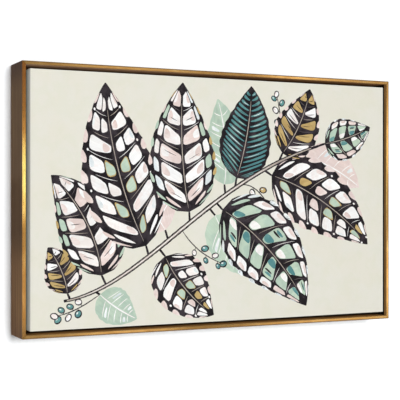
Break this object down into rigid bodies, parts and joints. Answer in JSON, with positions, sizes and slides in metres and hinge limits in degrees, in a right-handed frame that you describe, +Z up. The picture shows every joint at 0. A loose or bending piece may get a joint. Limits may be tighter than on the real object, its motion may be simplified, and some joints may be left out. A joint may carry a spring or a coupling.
{
  "type": "framed canvas print",
  "caption": "Painted canvas on stretcher bars in a thin gold floater frame with a dark shadow gap, hung by a sawtooth hanger.",
  "frame": {"origin": "middle notch of the sawtooth hanger, on the wall plane", "axes": "+X to the right as seen from the front, +Y into the wall, +Z up; the picture faces -Y"},
  "size_m": [0.532, 0.055, 0.336],
  "materials": {
    "frame": "antique gold leaf over dark bronze stain, satin",
    "stretcher": "planed bare pine",
    "canvas": "primed and painted canvas, matt",
    "staple": "bright wire",
    "screw": "bright zinc plate",
    "hanger": "yellow zinc plate",
    "bumper": "matt black"
  },
  "bodies": {
    "root": {"frame_top_rail": "frame", "frame_bottom_rail": "frame", "frame_left_rail": "frame", "frame_right_rail": "frame", "stretcher_top_bar": "stretcher", "stretcher_bottom_bar": "stretcher", "stretcher_left_bar": "stretcher", "stretcher_right_bar": "stretcher", "canvas": "canvas", "canvas_staple_01": "staple", "canvas_staple_02": "staple", "canvas_staple_03": "staple", "canvas_staple_04": "staple", "canvas_staple_05": "staple", "canvas_staple_06": "staple", "canvas_staple_07": "staple", "canvas_staple_08": "staple", "canvas_staple_09": "staple", "canvas_staple_10": "staple", "canvas_staple_11": "staple", "canvas_staple_12": "staple", "canvas_staple_13": "staple", "canvas_staple_14": "staple", "canvas_staple_15": "staple", "canvas_staple_16": "staple", "canvas_staple_17": "staple", "canvas_staple_18": "staple", "canvas_staple_19": "staple", "canvas_staple_20": "staple", "canvas_staple_21": "staple", "canvas_staple_22": "staple", "canvas_staple_23": "staple", "canvas_staple_24": "staple", "canvas_staple_25": "staple", "canvas_staple_26": "staple", "canvas_staple_27": "staple", "canvas_staple_28": "staple", "ledge_screw_1": "screw", "ledge_screw_2": "screw", "ledge_screw_3": "screw", "ledge_screw_4": "screw", "ledge_screw_5": "screw", "ledge_screw_6": "screw", "ledge_screw_7": "screw", "ledge_screw_8": "screw", "sawtooth_hanger": "hanger", "hanger_nail_left": "screw", "hanger_nail_right": "screw", "bumper_left": "bumper", "bumper_right": "bumper"}
  },
  "joints": []
}
